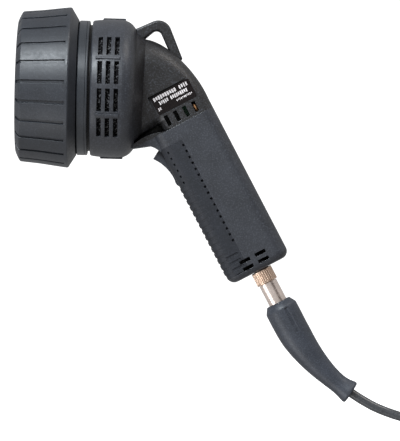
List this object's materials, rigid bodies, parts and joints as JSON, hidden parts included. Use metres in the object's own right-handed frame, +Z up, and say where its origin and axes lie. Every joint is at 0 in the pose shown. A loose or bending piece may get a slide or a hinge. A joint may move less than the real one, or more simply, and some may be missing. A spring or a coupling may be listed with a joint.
{
  "type": "hand-held inspection lamp",
  "caption": "Pistol-grip inspection lamp with a large round head, rubber bumper, vented housing, hanging loop, trigger and a corded plug.",
  "frame": {"origin": "middle of the grip, on the axis of the handle", "axes": "+Z up, the beam points along -X, the lamp is symmetric about the XZ plane"},
  "size_m": [0.3967, 0.1452, 0.3089],
  "materials": {
    "bumper_rubber": "matt moulded rubber",
    "shell_plastic": "fine spark-eroded texture",
    "collar_plastic": "smooth satin",
    "grip_plastic": "soft-touch satin",
    "trigger_plastic": "satin",
    "filter_glass": "dark violet filter glass",
    "reflector_metal": "mirror",
    "emitter_resin": "clear domed resin",
    "board_laminate": "solder resist",
    "led_board_laminate": "white solder resist on aluminium",
    "sink_aluminium": "plain",
    "fan_plastic": "satin",
    "foam": "open-cell foam",
    "seal_rubber": "matt",
    "label_film": "printed film with pale bars",
    "copper": "enamelled copper wire",
    "component_plastic": "satin",
    "steel": "bright",
    "nickel": "nickel plate with a warm tint",
    "cord_rubber": "moulded",
    "tie_fabric": "hook-and-loop strip"
  },
  "bodies": {
    "housing": {"left_shell": "shell_plastic", "right_shell": "shell_plastic", "hanging_loop": "shell_plastic", "bumper_ring": "bumper_rubber", "head_collar": "collar_plastic", "lens_window": "filter_glass", "lens_gasket": "seal_rubber", "reflector_cluster": "reflector_metal", "led_board": "led_board_laminate", "uv_leds": "emitter_resin", "white_led": "emitter_resin", "heat_sink": "sink_aluminium", "fan_frame": "fan_plastic", "vent_foam": "foam", "grip_pad": "grip_plastic", "label_plate": "label_film", "trigger_pin": "steel", "switch_body": "component_plastic", "driver_board": "board_laminate", "inductor_coil": "copper", "board_components": "component_plastic", "case_screws": "steel", "power_socket": "nickel", "socket_nut": "nickel", "plug_shell": "nickel", "strain_relief": "cord_rubber", "power_cord": "cord_rubber", "cord_coil": "cord_rubber", "cord_tail": "cord_rubber", "supply_boot": "cord_rubber", "supply_shell": "nickel", "supply_ring": "nickel", "cord_tie": "tie_fabric"},
    "trigger": {"trigger": "trigger_plastic"},
    "plunger": {"switch_plunger": "component_plastic"},
    "fan": {"fan_rotor": "fan_plastic"},
    "plug_ring": {"plug_ring": "nickel"}
  },
  "joints": [
    {"name": "trigger_pull", "type": "hinge", "parent": "housing", "child": "trigger", "pos_m": [-0.02831, 0, 0.00775], "axis": [0, 1, 0], "range_deg": [0, 7], "stiffness_Nm_per_rad": 0.6, "springref_deg": -2.86},
    {"name": "plunger_slide", "type": "slide", "parent": "housing", "child": "plunger", "axis": [0.8746, 0, 0.4848], "range_m": [0, 0.0026]},
    {"name": "fan_spin", "type": "hinge", "parent": "housing", "child": "fan", "pos_m": [-0.09121, 0, 0.07434], "axis": [-1, 0, 0], "continuous": true},
    {"name": "plug_ring_turn", "type": "hinge", "parent": "housing", "child": "plug_ring", "pos_m": [0.03505, 0, -0.06323], "axis": [0.4848, 0, -0.8746], "range_deg": [0, 90]}
  ],
  "couplings": [
    {"joint": "plunger_slide", "follows": "trigger_pull", "m_per_rad": 0.0205}
  ]
}
